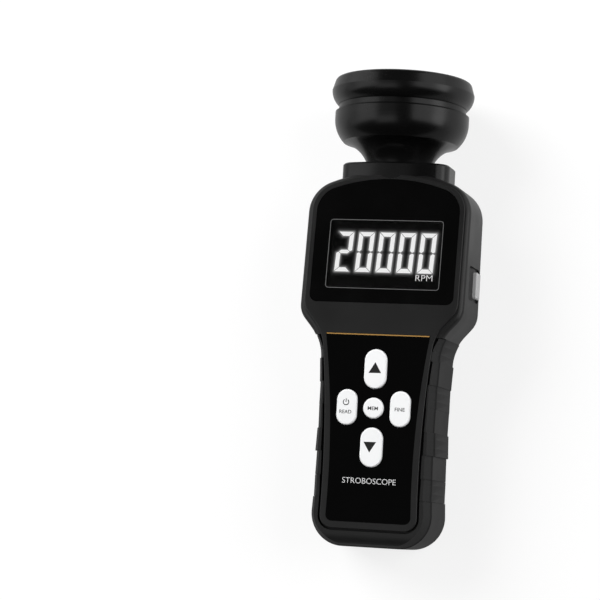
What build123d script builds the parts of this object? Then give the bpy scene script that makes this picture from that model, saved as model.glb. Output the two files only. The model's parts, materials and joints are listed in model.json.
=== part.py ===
from build123d import *
from math import asin, atan2, ceil, cos, degrees, hypot, radians, sin, sqrt, tan
import os

# Handheld LED stroboscope: a keypad instrument with a round lamp on its head.
#
# Every piece is first modelled upright, in millimetres:
#   X to the right of the keypad, Y from the tail up to the lamp, Z out of the keypad.
#   Y = 0 is the tail end, X = Z = 0 is the axis of the lamp.
# At the end the whole instrument is laid on its back, as it comes to rest on a table:
# it then touches the table with the lamp's ring and the back edge of its tail.

# Housing, seen from the keypad side
DISPLAY_HALF_WIDTH = 40.2
ARCH_TOP = 181.0
ARCH_RADIUS = 80.0
ARCH_CORNER = 16.0
FLARE_TOP = 110.8
FLARE_BOTTOM = 98.3
FLARE_CORNER = 11.0
FLARE_BEND = 22.0
HANDLE_TOP_HALF_WIDTH = 29.4
WAIST_HEIGHT = 52.0
WAIST_HALF_WIDTH = 27.6
TAIL_HALF_WIDTH = 29.6
TAIL_CORNER = 15.0

# Housing, seen from the side
BACK_Z = -16.5
FACE_Z = 24.0
FACE_STEP = 0.8
FACE_BEND_HEIGHT = 104.7
FACE_LEAN = 6.0
FACE_BEND_RADIUS = 60.0
PARTING_Z = 3.0
TAIL_FRONT_ROUND = 7.0
TAIL_BACK_ROUND = 6.0

# Shells
WALL = 2.4
BACK_EDGE_ROUND = 4.5
FRONT_EDGE_ROUND = 3.0
FACE_EDGE_ROUND = 0.5
FIT = 0.25

# Raised face, seen from the keypad side
FACE_INSET = 2.5
FACE_ARCH_INSET = 1.8
FACE_FLARE_RISE = 2.6
FACE_TOP_HALF_WIDTH = 27.4
FACE_WAIST_HALF_WIDTH = 23.7
FACE_TAIL_HALF_WIDTH = 23.9
FACE_TAIL_GAP = 8.3
FACE_TAIL_CORNER = 6.0

# Grip jacket
GRIP_TOP = 100.2
GRIP_THICKNESS = 2.0
RIDGE_THICKNESS = 2.7
GRIP_GROOVE = 1.0
GRIP_CREASE_Z = 17.5
GRIP_TAPER = 24.0
PAD_RAISE = 0.8
PAD_CROWN = 0.3
PAD_LENGTH = 11.2
PAD_PITCH = 22.2
PAD_COUNT = 3
TAIL_PAD_TOP = 22.9
FIRST_PAD = 33.4

# Display
PANEL_HALF_WIDTH = 35.2
PANEL_BOTTOM = 116.0
PANEL_TOP = 176.6
PANEL_TOP_CORNER = 12.0
PANEL_BOTTOM_CORNER = 3.5
PANEL_THICKNESS = 1.5
WINDOW_WIDTH = 55.8
WINDOW_HEIGHT = 33.8
WINDOW_CENTRE = 139.6
WINDOW_CORNER = 1.5
WINDOW_MARGIN = 2.0
LCD_WIDTH = 62.0
LCD_HEIGHT = 39.0
LCD_THICKNESS = 5.0
LCD_AIR = 0.1

# Keypad label
LABEL_TOP = 101.0
LABEL_BOTTOM = 11.7
LABEL_TOP_HALF_WIDTH = 25.4
LABEL_WAIST_HALF_WIDTH = 20.55
LABEL_BOTTOM_HALF_WIDTH = 20.7
LABEL_CORNER = 3.0
LABEL_THICKNESS = 0.5
LABEL_RECESS = 0.4

# Keys on the face
KEY_ROW = 65.7
KEY_ROW_PITCH = 18.6
SIDE_KEY_OFFSET = 13.0
TALL_KEY_WIDTH = 10.9
TALL_KEY_HEIGHT = 18.8
WIDE_KEY_WIDTH = 9.9
WIDE_KEY_HEIGHT = 17.0
ROUND_KEY_DIAMETER = 9.9
KEY_PROUD = 1.3
KEY_FLANGE = 0.8
KEY_FLANGE_MARGIN = 1.2
KEY_TRAVEL = 0.8
KEY_STOP_GAP = 0.2
KEY_RIM_ROUND = 0.8

# Key in the right side, with its finger recess
SIDE_KEY_HEIGHT = 128.3
SIDE_KEY_LENGTH = 12.8
SIDE_KEY_WIDTH = 8.0
SIDE_KEY_Z = -5.3
SIDE_KEY_PROUD = 1.1
SIDE_KEY_CORNER = 1.0
SIDE_KEY_RIM_ROUND = 0.8
RECESS_LENGTH = 16.4
RECESS_FRONT_Z = 12.3
RECESS_BACK_Z = -10.7
RECESS_DEEP = 2.6
RECESS_SHALLOW = 0.9
RECESS_CORNER = 2.5
SIDE_BOARD_LENGTH = 18.0
SIDE_BOARD_TOP_Z = 1.5
RIB_THICKNESS = 1.5
RIB_GRASP = 2.0

# Boards, switches and their screws
BOARD_THICKNESS = 1.6
BOARD_CORNER = 2.5
MAIN_BOARD_HALF_WIDTH = 33.0
MAIN_BOARD_BOTTOM = 112.6
MAIN_BOARD_TOP = 165.2
MAIN_POST_X = 26.0
MAIN_POST_EDGE = 3.2
KEY_BOARD_HALF_WIDTH = 19.5
KEY_BOARD_BOTTOM = 36.0
KEY_BOARD_TOP = 97.0
KEY_POST_X = 16.0
KEY_POST_EDGE = 4.0
POST_RADIUS = 2.6
BOARD_SCREW_RADIUS = 1.0
BOARD_SCREW_HEAD_RADIUS = 1.9
BOARD_SCREW_HEAD_HEIGHT = 1.4
BOARD_SCREW_LENGTH = 4.0
SWITCH_SIZE = 6.0
SWITCH_BODY = 3.0
SWITCH_PLUNGER_RADIUS = 1.7
SWITCH_PLUNGER = 1.2
SCREW_END_GAP = 0.5
SCREW_CLEARANCE = 0.05

# Case screws, driven from the back
CASE_SCREW_PLACES = ((31.0, 169.2), (29.5, 107.5))
CASE_BOSS_RADIUS = 3.6
CASE_SCREW_RADIUS = 1.45
CASE_SCREW_HEAD_RADIUS = 2.8
CASE_SCREW_HEAD_HEIGHT = 2.0
CASE_SCREW_SEAT_Z = -6.0
CASE_SCREW_LENGTH = 17.0
CASE_SCREW_SOCKET_RADIUS = 1.1
CASE_SCREW_SOCKET_DEPTH = 1.0

# Tripod insert in the back
TRIPOD_HEIGHT = 128.3
TRIPOD_THREAD_RADIUS = 2.6
TRIPOD_INSERT_RADIUS = 4.5
TRIPOD_INSERT_LENGTH = 8.5
TRIPOD_BOSS_RADIUS = 7.0

# Batteries and their bay
CELL_DIAMETER = 14.5
CELL_LENGTH = 49.4
CELL_NUB_LENGTH = 1.1
CELL_NUB_RADIUS = 2.75
CELL_PITCH = 14.9
CELL_AIR = 0.3
BAY_BOTTOM = 18.5
SPRING_LENGTH = 6.0
SPRING_RADIUS = 5.0
SPRING_TURNS = 3
SPRING_TURN_SHRINK = 0.9
SPRING_WIRE = 0.6
CELL_EDGE = 0.6
CONTACT_INSET = 2.0
CONTACT_THICKNESS = 0.5
BAY_WALL = 1.5
BAY_BLOCK_SIDE = 4.8
BAY_BLOCK_INSET = 0.5
COVER_BOTTOM = 8.7
COVER_TOP_OVERLAP = 3.0
COVER_HALF_WIDTH = 23.4
COVER_CORNER = 5.0
COVER_SCREW_HEIGHT = 13.0
COVER_SCREW_LENGTH = 9.0
COVER_SCREW_HEAD_HEIGHT = 1.1
HEAD_SINK = 0.1
COVER_TAB_WIDTH = 2.8
COVER_TAB_THICKNESS = 1.1

# Collar between housing and lamp
COLLAR_TOP = 185.3
COLLAR_HALF_WIDTH = 26.6
COLLAR_HALF_DEPTH = 16.4
COLLAR_BULGE_RADIUS = 69.0
COLLAR_CORNER = 8.0
COLLAR_EDGE = 0.8
COLLAR_SINK = 3.0
SPIGOT_RADIUS = 12.5
SPIGOT_BOTTOM = 172.0
SPIGOT_FLANGE_RADIUS = 13.8
SPIGOT_FLANGE = 2.5

# Lamp, as radii about its axis and heights above the tail
STUB_RADIUS = 9.6
STUB_BOTTOM = 167.2
NECK_RADIUS = 15.8
FLARE_MIDDLE = (20.7, 192.6)
BELL_CREASE_STEP = 4.7
BELL_CREASE_HEIGHT = 196.1
BELL_MIDDLE_STEP = 1.5
BELL_MIDDLE_HEIGHT = 200.6
BELL_STEP = 2.1
BELL_WIDEST = 207.0
BELL_TOP = 210.8
BAND_PROUD = 0.5
BAND_BOTTOM = 211.8
RING_BOTTOM = 214.3
THREAD_STEP = 4.2
LAMP_RIM = 221.5
BOWL_WALL = 2.0
WIRE_BORE_RADIUS = 7.0
NUT_RADIUS = 13.0
NUT_HEIGHT = 4.0

# Ring over the lens
RING_RADIUS = 34.8
RING_WIDEST = 221.4
RING_LOWER_STEP = 3.3
RING_SHOULDER_STEP = 1.3
RING_SHOULDER_HEIGHT = 225.7
RING_ROUNDING_STEP = 2.1
RING_ROUNDING_HEIGHT = 227.0
RING_TOP_STEP = 3.4
RING_TOP = 227.5
RING_BORE_CLEARANCE = 0.1
RING_MOUTH_CHAMFER = 1.0
RING_LIP_EDGE = 0.4

# Lens, reflector and LEDs
LENS_PLAY = 0.5
LENS_LIP = 2.3
LENS_THICKNESS = 2.0
SEAL_THICKNESS = 0.8
SEAL_SETBACK = 0.2
REFLECTOR_WALL = 0.8
REFLECTOR_AIR = 0.2
REFLECTOR_TAPER = 4.6
REFLECTOR_RIM_DEPTH = 2.0
LED_BOARD_SEAT = 203.0
LED_BOARD_STEP = 2.6
LED_BOARD_LEDGE = 2.0
LED_RADIUS = 2.5
LED_HEIGHT = 8.6
LED_PITCH = 7.2
LED_FIELD_EDGE = 6.0

# How far a cutting block reaches past the object
BEYOND = 20.0

# Derived places
DISPLAY_PLANE = Plane(
    origin=(0, FACE_BEND_HEIGHT, FACE_Z),
    x_dir=(1, 0, 0),
    z_dir=(0, sin(radians(FACE_LEAN)), cos(radians(FACE_LEAN))),
)
CORE_BACK_Z = BACK_Z + GRIP_THICKNESS
CORE_FRONT_Z = FACE_Z - FACE_STEP - RIDGE_THICKNESS
CEILING_Z = FACE_Z - WALL
KEY_FLANGE_Z = CEILING_Z - KEY_FLANGE
SWITCH_HEIGHT = SWITCH_BODY + SWITCH_PLUNGER
KEY_BOARD_Z = KEY_FLANGE_Z - KEY_TRAVEL - KEY_STOP_GAP - SWITCH_HEIGHT
CELL_Z = CORE_BACK_Z + CELL_AIR + CELL_DIAMETER / 2
BAY_HALF_WIDTH = CELL_PITCH + CELL_DIAMETER / 2 + CELL_AIR
BAY_TOP = BAY_BOTTOM + SPRING_LENGTH + CELL_LENGTH + CELL_NUB_LENGTH + CONTACT_THICKNESS
BAY_CEILING_Z = CELL_Z + CELL_DIAMETER / 2 + CELL_AIR
THREAD_RADIUS = RING_RADIUS - THREAD_STEP
BELL_RADIUS = RING_RADIUS - BELL_STEP
BELL_CREASE = (BELL_RADIUS - BELL_CREASE_STEP, BELL_CREASE_HEIGHT)
BELL_MIDDLE = (BELL_RADIUS - BELL_MIDDLE_STEP, BELL_MIDDLE_HEIGHT)
BAND_RADIUS = THREAD_RADIUS + BAND_PROUD
BOWL_RADIUS = THREAD_RADIUS - BOWL_WALL
LENS_RADIUS = THREAD_RADIUS - LENS_PLAY
RING_LOWER_RADIUS = RING_RADIUS - RING_LOWER_STEP
RING_SHOULDER = (RING_RADIUS - RING_SHOULDER_STEP, RING_SHOULDER_HEIGHT)
RING_SHOULDER_MIDDLE = (RING_RADIUS - RING_ROUNDING_STEP, RING_ROUNDING_HEIGHT)
RING_TOP_RADIUS = RING_RADIUS - RING_TOP_STEP
RING_MOUTH_RADIUS = LENS_RADIUS - LENS_LIP
SEAL_INNER_RADIUS = RING_MOUTH_RADIUS + SEAL_SETBACK
REFLECTOR_MOUTH_RADIUS = BOWL_RADIUS - REFLECTOR_AIR - REFLECTOR_WALL / 2
REFLECTOR_FLOOR_RADIUS = REFLECTOR_MOUTH_RADIUS - REFLECTOR_TAPER
LED_BOARD_RADIUS = BOWL_RADIUS - LED_BOARD_STEP
LED_FIELD_RADIUS = LED_BOARD_RADIUS - LED_FIELD_EDGE
LENS_SEAT = LAMP_RIM + REFLECTOR_WALL
RING_LIP = LENS_SEAT + LENS_THICKNESS + SEAL_THICKNESS
RING_BORE_RADIUS = THREAD_RADIUS + RING_BORE_CLEARANCE
RING_STEP = RING_RADIUS - RING_LOWER_RADIUS
RING_ROUND = (RING_STEP**2 + (RING_WIDEST - RING_BOTTOM) ** 2) / (2 * RING_STEP)
RING_ROUND_CENTRE = RING_RADIUS - RING_ROUND
SIDE_WALL_INNER = DISPLAY_HALF_WIDTH - RECESS_DEEP - WALL
SIDE_SWITCH_SEAT = SIDE_WALL_INNER - KEY_FLANGE - KEY_TRAVEL - KEY_STOP_GAP - SWITCH_HEIGHT
COVER_TAB_ROOT = BAY_TOP - CONTACT_THICKNESS - CELL_NUB_LENGTH + FIT / 2
COVER_SEAT_Z = BACK_Z + COVER_SCREW_HEAD_HEIGHT + HEAD_SINK
BOARD_BACK_W = -WALL - LCD_THICKNESS


def up(height):
    """Distance along the leaning display face of a height above the tail."""
    return (height - FACE_BEND_HEIGHT) / cos(radians(FACE_LEAN))


def closed_face(*curves):
    """A face inside curves that meet end to end."""
    return make_face([edge for curve in curves for edge in curve.edges()])


def block(x_span, y_span, z_span):
    """A box given by its two ends along each axis."""
    size = [b - a for a, b in (x_span, y_span, z_span)]
    centre = [(a + b) / 2 for a, b in (x_span, y_span, z_span)]
    return Pos(*centre) * Box(*size)


def band(y_low, y_high, z_low=BACK_Z - BEYOND, z_high=FACE_Z + BEYOND):
    """A block wider than the housing, between two heights and two levels."""
    half = DISPLAY_HALF_WIDTH + BEYOND
    return block((-half, half), (y_low, y_high), (z_low, z_high))


def prism(face, z_low, z_high):
    """A face of the XY plane, extruded between two levels."""
    return extrude(Pos(0, 0, z_low) * face, amount=z_high - z_low)


def rod(x, y, radius, z_low, z_high):
    """A round rod along Z."""
    return Pos(x, y, z_low) * Cylinder(radius, z_high - z_low, align=(Align.CENTER, Align.CENTER, Align.MIN))


def turned(face):
    """A half profile of the XY plane, turned about the lamp's axis."""
    return revolve(face, axis=Axis.Y)


def tube(r_inner, r_outer, y_low, y_high):
    """A ring about the lamp's axis, or a disc where the inner radius is zero."""
    section = Rectangle(r_outer - r_inner, y_high - y_low)
    return turned(Pos((r_inner + r_outer) / 2, (y_low + y_high) / 2) * section)


def arch_drop(half_width, radius):
    """How far an arch has come down from its top at a half width."""
    return radius - sqrt(radius**2 - half_width**2)


def waisted_outline(half_width, top, flare_top, flare_bottom, handle, tail, corner_radii, grow=0.0):
    """Outline with an arched top, a flare and a waisted handle.

    handle holds the half widths at the top of the handle, at its waist and at the tail.
    corner_radii holds those of the arch corners, flare corners, flare bends and tail corners.
    """
    upper, waist, lower = handle
    corner_height = top - arch_drop(half_width, ARCH_RADIUS)
    corners = [
        (half_width, corner_height),
        (half_width, flare_top),
        (upper, flare_bottom),
        (lower, tail),
    ]
    right = [
        Line(corners[0], corners[1]),
        Line(corners[1], corners[2]),
        ThreePointArc(corners[2], (waist, WAIST_HEIGHT), corners[3]),
    ]
    arch = ThreePointArc((-half_width, corner_height), (0, top), corners[0])
    base = Line(corners[3], (-lower, tail))
    left = [mirror(edge, about=Plane.YZ) for edge in right]
    outline = closed_face(arch, *right, base, *left)
    for (x, y), radius in zip(corners, corner_radii):
        near = [v for v in outline.vertices() if hypot(abs(v.X) - x, v.Y - y) < 0.01]
        outline = fillet(near, radius)
    return offset(outline, grow) if grow else outline


def housing_outline(grow=0.0):
    """Outer outline of the housing and of the grip between its pads."""
    return waisted_outline(
        DISPLAY_HALF_WIDTH,
        ARCH_TOP,
        FLARE_TOP,
        FLARE_BOTTOM,
        (HANDLE_TOP_HALF_WIDTH, WAIST_HALF_WIDTH, TAIL_HALF_WIDTH),
        PAD_RAISE,
        (ARCH_CORNER, FLARE_CORNER, FLARE_BEND, TAIL_CORNER),
        grow,
    )


def face_outline(grow=0.0):
    """Outline of the raised face that carries display and keypad."""
    return waisted_outline(
        DISPLAY_HALF_WIDTH - FACE_INSET,
        ARCH_TOP - FACE_ARCH_INSET,
        FLARE_TOP + FACE_FLARE_RISE,
        FLARE_BOTTOM + FACE_FLARE_RISE,
        (FACE_TOP_HALF_WIDTH, FACE_WAIST_HALF_WIDTH, FACE_TAIL_HALF_WIDTH),
        FACE_TAIL_GAP,
        (ARCH_CORNER - FACE_INSET, FLARE_CORNER - FACE_INSET, FLARE_BEND, FACE_TAIL_CORNER),
        grow,
    )


def side_slab(back, front, tail, front_round=0.0, back_round=0.0):
    """Everything between the back and a front that leans back above the keypad."""
    far = ARCH_TOP + BEYOND
    slope = tan(radians(FACE_LEAN))
    points = [
        (tail, back),
        (far, back),
        (far, front - (far - FACE_BEND_HEIGHT) * slope),
        (FACE_BEND_HEIGHT, front),
        (tail, front),
    ]
    profile = make_face(Polyline(*points, close=True))
    rounds = ((points[3], FACE_BEND_RADIUS), (points[4], front_round), (points[0], back_round))
    for (y, z), radius in rounds:
        if radius:
            near = [v for v in profile.vertices() if hypot(v.X - y, v.Y - z) < 0.01]
            profile = fillet(near, radius)
    return extrude(Plane.YZ * profile, amount=DISPLAY_HALF_WIDTH + BEYOND, both=True)


def front_rim(solid, front):
    """Outer edges of the leaning front of a solid, without the lines where it bends."""
    slope = tan(radians(FACE_LEAN))
    bend_reach = FACE_BEND_RADIUS * tan(radians(FACE_LEAN / 2)) + 0.5
    bend_sag = FACE_BEND_RADIUS * (1 / cos(radians(FACE_LEAN / 2)) - 1) + 0.02

    def is_on_front(point):
        level = front - max(0.0, point.Y - FACE_BEND_HEIGHT) * slope
        return abs(point.Z - level) < bend_sag

    def is_bend(edge):
        return abs(edge.center().X) < 1 and abs(edge.center().Y - FACE_BEND_HEIGHT) < bend_reach

    rim = []
    for edge in solid.edges():
        if all(is_on_front(edge.position_at(t)) for t in (0.1, 0.5, 0.9)) and not is_bend(edge):
            rim.append(edge)
    return rim


def round_backed_prism(outline, z_high):
    """An outline extruded from the back plane, with the edge there rounded."""
    solid = prism(outline, BACK_Z, z_high)
    return fillet(solid.edges().group_by(Axis.Z)[0], BACK_EDGE_ROUND)


def display_part():
    """The wide upper part of the housing, solid, with rounded edges."""
    front = FACE_Z - FACE_STEP
    solid = round_backed_prism(housing_outline(), FACE_Z + BEYOND) & side_slab(BACK_Z, front, -BEYOND)
    solid = fillet(front_rim(solid, front), FRONT_EDGE_ROUND)
    return solid & band(GRIP_TOP, ARCH_TOP + BEYOND)


def handle_core():
    """The part of the housing inside the grip jacket, solid."""
    core = prism(housing_outline(-GRIP_THICKNESS), CORE_BACK_Z, CORE_FRONT_Z)
    core = core & band(-BEYOND, GRIP_TOP)
    return core & side_slab(
        CORE_BACK_Z,
        FACE_Z,
        PAD_RAISE + GRIP_THICKNESS,
        TAIL_FRONT_ROUND,
        TAIL_BACK_ROUND - GRIP_THICKNESS,
    )


def raised_face():
    """The plateau that carries display and keypad, solid down into the housing."""
    solid = prism(face_outline(), PARTING_Z, FACE_Z + BEYOND)
    solid = solid & side_slab(BACK_Z, FACE_Z, PAD_RAISE, TAIL_FRONT_ROUND)
    return fillet(front_rim(solid, FACE_Z), FACE_EDGE_ROUND)


def cavity():
    """Room inside the two shells."""
    below_face = side_slab(BACK_Z, CEILING_Z, -BEYOND)
    joint = GRIP_TOP + WALL
    wide = prism(housing_outline(-WALL), BACK_Z + WALL, FACE_Z) & band(joint, ARCH_TOP) & below_face
    narrow = prism(housing_outline(-GRIP_THICKNESS - WALL), CORE_BACK_Z + WALL, CORE_FRONT_Z - WALL)
    narrow = narrow & band(0, joint + WALL)
    under_face = prism(face_outline(-WALL), CORE_FRONT_Z - 2 * WALL, CEILING_Z)
    under_face = under_face & band(TAIL_FRONT_ROUND + WALL, joint + WALL)
    return wide + narrow + (under_face & below_face)


def panel_outline(grow=0.0):
    """Display panel in the plane of the leaning face."""
    half = PANEL_HALF_WIDTH
    top, bottom = up(PANEL_TOP), up(PANEL_BOTTOM)
    corner = top - arch_drop(half, ARCH_RADIUS)
    outline = closed_face(
        ThreePointArc((-half, corner), (0, top), (half, corner)),
        Polyline((half, corner), (half, bottom), (-half, bottom), (-half, corner)),
    )
    upper = outline.vertices().filter_by_position(Axis.Y, corner - 0.01, corner + 0.01)
    outline = fillet(upper, PANEL_TOP_CORNER)
    lower = outline.vertices().filter_by_position(Axis.Y, bottom - 0.01, bottom + 0.01)
    outline = fillet(lower, PANEL_BOTTOM_CORNER)
    return offset(outline, grow) if grow else outline


def on_display(face, w_low, w_high):
    """A face extruded square to the leaning display, between two distances from it."""
    return DISPLAY_PLANE * prism(face, w_low, w_high)


def window_face(margin):
    """The display window, or a larger one round it."""
    width, height = WINDOW_WIDTH + 2 * margin, WINDOW_HEIGHT + 2 * margin
    return Pos(0, up(WINDOW_CENTRE)) * RectangleRounded(width, height, WINDOW_CORNER + margin)


def label_outline(grow=0.0):
    """Keypad label with its waisted sides."""
    top = (LABEL_TOP_HALF_WIDTH, LABEL_TOP)
    bottom = (LABEL_BOTTOM_HALF_WIDTH, LABEL_BOTTOM)
    side = ThreePointArc(top, (LABEL_WAIST_HALF_WIDTH, WAIST_HEIGHT), bottom)
    outline = closed_face(
        side,
        Line(bottom, (-bottom[0], bottom[1])),
        mirror(side, about=Plane.YZ),
        Line((-top[0], top[1]), top),
    )
    lower = outline.vertices().filter_by_position(Axis.Y, LABEL_BOTTOM - 0.01, LABEL_BOTTOM + 0.01)
    outline = fillet(lower, LABEL_CORNER)
    return offset(outline, grow) if grow else outline


def key_faces():
    """Face and centre of each key on the keypad, by name."""
    tall = SlotOverall(TALL_KEY_HEIGHT, TALL_KEY_WIDTH, rotation=90)
    wide = SlotOverall(WIDE_KEY_HEIGHT, WIDE_KEY_WIDTH, rotation=90)
    return {
        "up_key": (tall, 0, KEY_ROW + KEY_ROW_PITCH),
        "down_key": (tall, 0, KEY_ROW - KEY_ROW_PITCH),
        "read_key": (wide, -SIDE_KEY_OFFSET, KEY_ROW),
        "fine_key": (wide, SIDE_KEY_OFFSET, KEY_ROW),
        "memory_key": (Circle(ROUND_KEY_DIAMETER / 2), 0, KEY_ROW),
    }


def key_openings(clearance, z_low, z_high):
    """The holes that the keypad's keys come through."""
    return [
        prism(Pos(x, y) * offset(face, clearance), z_low, z_high)
        for face, x, y in key_faces().values()
    ]


def main_post_places():
    """Posts of the main board, in the plane of the display."""
    low = up(MAIN_BOARD_BOTTOM) + MAIN_POST_EDGE
    high = up(MAIN_BOARD_TOP) - MAIN_POST_EDGE
    return [(x, v) for x in (-MAIN_POST_X, MAIN_POST_X) for v in (low, high)]


def key_post_places():
    """Posts of the key board."""
    low, high = KEY_BOARD_BOTTOM + KEY_POST_EDGE, KEY_BOARD_TOP - KEY_POST_EDGE
    return [(x, y) for x in (-KEY_POST_X, KEY_POST_X) for y in (low, high)]


def case_screw_places():
    """Case screws on both sides."""
    return [(side * x, y) for side in (-1, 1) for x, y in CASE_SCREW_PLACES]


def side_recess():
    """Finger recess round the side key, deepest along its front end."""
    outer = DISPLAY_HALF_WIDTH
    floor = Polyline(
        (outer + BEYOND, RECESS_FRONT_Z),
        (outer - RECESS_DEEP, RECESS_FRONT_Z),
        (outer - RECESS_SHALLOW, SIDE_KEY_Z + SIDE_KEY_WIDTH / 2),
        (outer - RECESS_SHALLOW, RECESS_BACK_Z),
        (outer + BEYOND, RECESS_BACK_Z),
        close=True,
    )
    scoop = extrude(Plane.XZ * make_face(floor), amount=RECESS_LENGTH / 2, both=True)
    width = RECESS_FRONT_Z - RECESS_BACK_Z
    mouth = Plane.YZ * RectangleRounded(RECESS_LENGTH, width, RECESS_CORNER)
    middle = (RECESS_FRONT_Z + RECESS_BACK_Z) / 2
    mouth = Pos(outer, 0, middle) * extrude(mouth, amount=BEYOND, both=True)
    return Pos(0, SIDE_KEY_HEIGHT, 0) * (scoop & mouth)


def side_key_face(margin):
    """Outline of the side key, seen from the right."""
    rectangle = RectangleRounded(
        SIDE_KEY_LENGTH + 2 * margin,
        SIDE_KEY_WIDTH + 2 * margin,
        SIDE_KEY_CORNER + margin,
    )
    return Plane.YZ * Pos(SIDE_KEY_HEIGHT, SIDE_KEY_Z) * rectangle


def side_prism(face, x_low, x_high):
    """A face of the YZ plane, extruded between two X places."""
    return Pos(x_low, 0, 0) * extrude(face, amount=x_high - x_low)


def side_wall_pad():
    """Thickening of the housing wall behind the finger recess."""
    half = RECESS_LENGTH / 2 + WALL
    return block(
        (SIDE_WALL_INNER, DISPLAY_HALF_WIDTH - WALL / 2),
        (SIDE_KEY_HEIGHT - half, SIDE_KEY_HEIGHT + half),
        (RECESS_BACK_Z - WALL, RECESS_FRONT_Z + WALL),
    )


def housing():
    """Both shells as one hollow solid, before they are parted."""
    solid = display_part() + handle_core() + raised_face() - cavity()
    solid = solid + side_wall_pad() - side_recess()
    return solid - tube(0, SPIGOT_RADIUS + FIT, SPIGOT_BOTTOM, COLLAR_TOP)


def front_shell(whole):
    """Front half: display recess, key holes, and posts for boards and screws."""
    shell = whole & band(-BEYOND, ARCH_TOP + BEYOND, z_low=PARTING_Z)
    inside = cavity()
    for x, y in case_screw_places():
        shell += rod(x, y, CASE_BOSS_RADIUS, PARTING_Z, FACE_Z) & inside
    for x, v in main_post_places():
        post = Pos(x, v) * Circle(POST_RADIUS)
        shell += on_display(post, BOARD_BACK_W, -WALL / 2)
        hole = Pos(x, v) * Circle(BOARD_SCREW_RADIUS + SCREW_CLEARANCE)
        shell -= on_display(hole, BOARD_BACK_W, BOARD_BACK_W + BOARD_SCREW_LENGTH)
    for x, y in key_post_places():
        shell += rod(x, y, POST_RADIUS, KEY_BOARD_Z, CEILING_Z + WALL / 2)
        hole_radius = BOARD_SCREW_RADIUS + SCREW_CLEARANCE
        shell -= rod(x, y, hole_radius, KEY_BOARD_Z, KEY_BOARD_Z + BOARD_SCREW_LENGTH)
    for x, y in case_screw_places():
        end = CASE_SCREW_SEAT_Z + CASE_SCREW_LENGTH + SCREW_END_GAP
        shell -= rod(x, y, CASE_SCREW_RADIUS + SCREW_CLEARANCE, PARTING_Z, end)
    shell -= on_display(panel_outline(FIT / 2), -PANEL_THICKNESS, FACE_EDGE_ROUND)
    shell -= on_display(window_face(WINDOW_MARGIN), -2 * WALL, 0)
    shell -= prism(label_outline(FIT / 2), FACE_Z - LABEL_RECESS, FACE_Z + FACE_EDGE_ROUND)
    for opening in key_openings(FIT, CEILING_Z - WALL, FACE_Z + FACE_EDGE_ROUND):
        shell -= opening
    return shell


def rear_shell(whole):
    """Back half: battery bay, screw bosses, tripod boss and the side key's opening."""
    shell = whole & band(-BEYOND, ARCH_TOP + BEYOND, z_high=PARTING_Z)
    inside = cavity()
    for x, y in case_screw_places():
        shell += rod(x, y, CASE_BOSS_RADIUS, BACK_Z, PARTING_Z) & inside
    insert_end = BACK_Z + TRIPOD_INSERT_LENGTH
    shell += rod(0, TRIPOD_HEIGHT, TRIPOD_BOSS_RADIUS, BACK_Z + WALL / 2, insert_end + WALL)
    bay_outer = BAY_HALF_WIDTH + BAY_BLOCK_SIDE
    ceiling_top = BAY_CEILING_Z + BAY_WALL
    bay_block = block(
        (-bay_outer, bay_outer),
        (BAY_BOTTOM - BAY_WALL, BAY_TOP + BAY_WALL),
        (CORE_BACK_Z, ceiling_top),
    )
    shell += bay_block & prism(housing_outline(-GRIP_THICKNESS - BAY_BLOCK_INSET), CORE_BACK_Z, ceiling_top)
    screw_end = CORE_BACK_Z + COVER_SCREW_LENGTH
    shell += rod(0, COVER_SCREW_HEIGHT, CASE_BOSS_RADIUS, CORE_BACK_Z, screw_end + WALL)
    shell -= block((-BAY_HALF_WIDTH, BAY_HALF_WIDTH), (BAY_BOTTOM, BAY_TOP), (BACK_Z, BAY_CEILING_Z))
    shell -= rod(0, TRIPOD_HEIGHT, TRIPOD_INSERT_RADIUS, BACK_Z, insert_end)
    for x, y in case_screw_places():
        head_room = CASE_SCREW_HEAD_RADIUS + FIT
        shell -= rod(x, y, head_room, BACK_Z, CASE_SCREW_SEAT_Z)
        shell -= rod(x, y, CASE_SCREW_RADIUS + SCREW_CLEARANCE, CASE_SCREW_SEAT_Z, PARTING_Z)
    shell -= rod(0, COVER_SCREW_HEIGHT, CASE_SCREW_RADIUS + SCREW_CLEARANCE, CORE_BACK_Z, screw_end)
    for tab in cover_tabs(FIT):
        shell -= tab
    shell -= side_prism(side_key_face(FIT), SIDE_WALL_INNER, DISPLAY_HALF_WIDTH)
    for rib in side_board_ribs():
        shell += rib
    return shell


def cover_outline(grow=0.0):
    """Battery cover, seen from the back."""
    top = BAY_TOP + COVER_TOP_OVERLAP
    rectangle = RectangleRounded(
        2 * (COVER_HALF_WIDTH + grow),
        top - COVER_BOTTOM + 2 * grow,
        COVER_CORNER + grow,
    )
    return Pos(0, (top + COVER_BOTTOM) / 2) * rectangle


def cover_tabs(clearance):
    """Two tabs that hook the cover behind the end wall of the bay."""
    tabs = []
    for x in (-CELL_PITCH / 2, CELL_PITCH / 2):
        half = COVER_TAB_WIDTH / 2 + clearance
        low = CORE_BACK_Z + WALL
        tabs.append(
            block(
                (x - half, x + half),
                (COVER_TAB_ROOT, BAY_TOP + BAY_WALL + clearance),
                (low - clearance, low + COVER_TAB_THICKNESS + clearance),
            )
        )
    return tabs


def battery_cover():
    """Cover over the cells, with two tabs at its top and a screw at its tail."""
    cover = prism(cover_outline(), BACK_Z, CORE_BACK_Z)
    for tab in cover_tabs(0):
        box = tab.bounding_box()
        root = block(
            (box.min.X, box.max.X),
            (COVER_TAB_ROOT, BAY_TOP - FIT),
            (CORE_BACK_Z, box.max.Z),
        )
        cover = cover + root + tab
    cover -= rod(0, COVER_SCREW_HEIGHT, CASE_SCREW_RADIUS + SCREW_CLEARANCE, BACK_Z, CORE_BACK_Z)
    return cover - rod(0, COVER_SCREW_HEIGHT, CASE_SCREW_HEAD_RADIUS + FIT, BACK_Z, COVER_SEAT_Z)


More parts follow.
